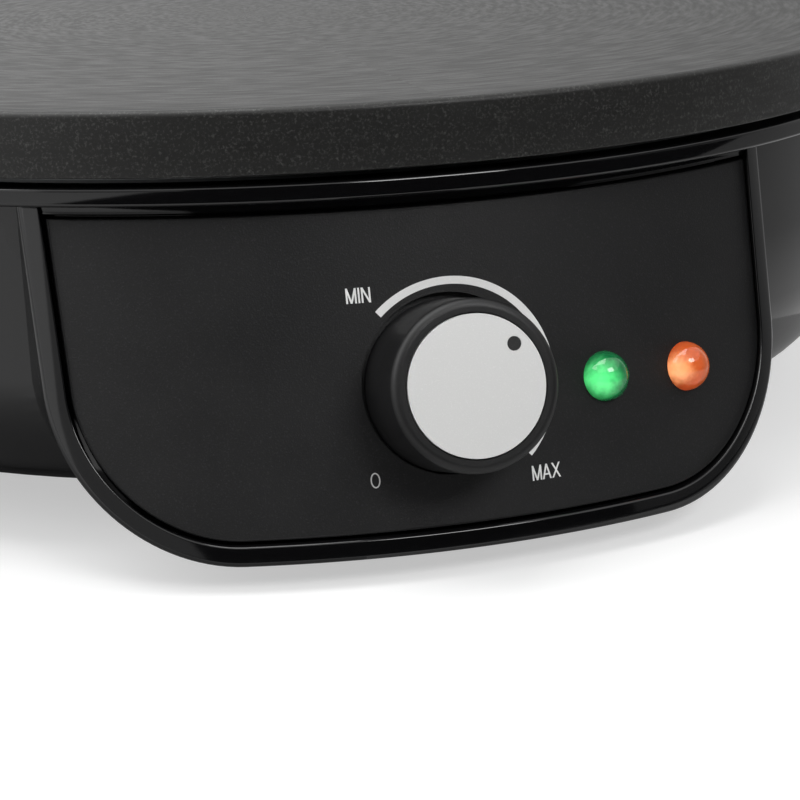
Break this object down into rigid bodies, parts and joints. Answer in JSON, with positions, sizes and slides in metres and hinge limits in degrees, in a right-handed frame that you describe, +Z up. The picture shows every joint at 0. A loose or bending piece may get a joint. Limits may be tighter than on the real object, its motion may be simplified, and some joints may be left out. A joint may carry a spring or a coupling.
{
  "type": "electric crepe maker",
  "caption": "Countertop crepe maker: open round griddle plate on a tapered black base, with a leaning front panel, a temperature knob and indicator lamps.",
  "frame": {"origin": "on the table, below the middle of the whole object's box", "axes": "+Z up, -Y towards the cook and the control panel, +X to the right seen from the front"},
  "size_m": [0.3, 0.3216, 0.088],
  "materials": {
    "plate_coating": "fine-grained non-stick coating, satin",
    "element_sheath": "oxidised tubular heater sheath",
    "ceramic": "matte fired ceramic",
    "nickel_pins": "nickel-plated",
    "aluminised_sheet": "dull rolled sheet",
    "mica": "pressed mica, matte",
    "zinc_steel": "zinc-plated",
    "housing_enamel": "glossy black",
    "panel_plastic": "fine-textured matte black",
    "cover_sheet": "black powder coat, satin",
    "foot_rubber": "matte",
    "gland_plastic": "moulded, satin",
    "terminal_plastic": "moulded, satin",
    "terminal_brass": "plain turned brass",
    "fuse_ceramic": "matte fired ceramic",
    "spring_steel": "plain spring steel",
    "copper": "drawn copper, dull",
    "thermostat_ceramic": "matte steatite",
    "bushing_brass": "threaded brass",
    "knob_plastic": "satin black",
    "cap_metal": "satin, bead blasted",
    "dot_ink": "matte black",
    "green_lens": "translucent green, glossy, lit from behind",
    "amber_lens": "translucent amber, glossy, unlit",
    "neon_glass": "clear tube",
    "sleeve_rubber": "heat-shrunk sleeve, matte",
    "lead_sleeving": "woven glass sleeving",
    "earth_sleeving": "green and yellow insulation"
  },
  "bodies": {
    "base": {"cooking_plate": "plate_coating", "heating_element": "element_sheath", "element_seals": "ceramic", "element_pins": "nickel_pins", "heat_shield": "aluminised_sheet", "insulating_washers": "mica", "plate_screws": "zinc_steel", "housing": "housing_enamel", "control_panel": "panel_plastic", "bottom_cover": "cover_sheet", "cover_screws": "zinc_steel", "rubber_feet": "foot_rubber", "cord_gland": "gland_plastic", "terminal_block": "terminal_plastic", "terminal_screws": "terminal_brass", "earth_screw": "terminal_brass", "earth_tag": "terminal_brass", "earth_nut": "terminal_brass", "thermal_fuse": "fuse_ceramic", "fuse_clip": "spring_steel", "sensor_bulb": "copper", "bulb_clip": "spring_steel", "capillary_tube": "copper", "thermostat_yoke": "zinc_steel", "thermostat_body": "thermostat_ceramic", "thermostat_capsule": "zinc_steel", "thermostat_tabs": "nickel_pins", "thermostat_bushing": "bushing_brass", "bushing_nut": "zinc_steel", "ready_lens": "green_lens", "power_lens": "amber_lens", "lens_rings": "spring_steel", "neon_lamps": "neon_glass", "lamp_sleeves": "sleeve_rubber", "mains_leads": "lead_sleeving", "lamp_leads": "lead_sleeving", "earth_lead": "earth_sleeving"},
    "knob": {"knob": "knob_plastic", "knob_cap": "cap_metal", "pointer_dot": "dot_ink", "knob_spring": "spring_steel", "thermostat_shaft": "zinc_steel"}
  },
  "joints": [
    {"name": "knob_turn", "type": "hinge", "parent": "base", "child": "knob", "pos_m": [-0.0008, -0.14232, 0.0348], "axis": [-0.0051, -0.9703, 0.2419], "range_deg": [-87, 183]}
  ]
}
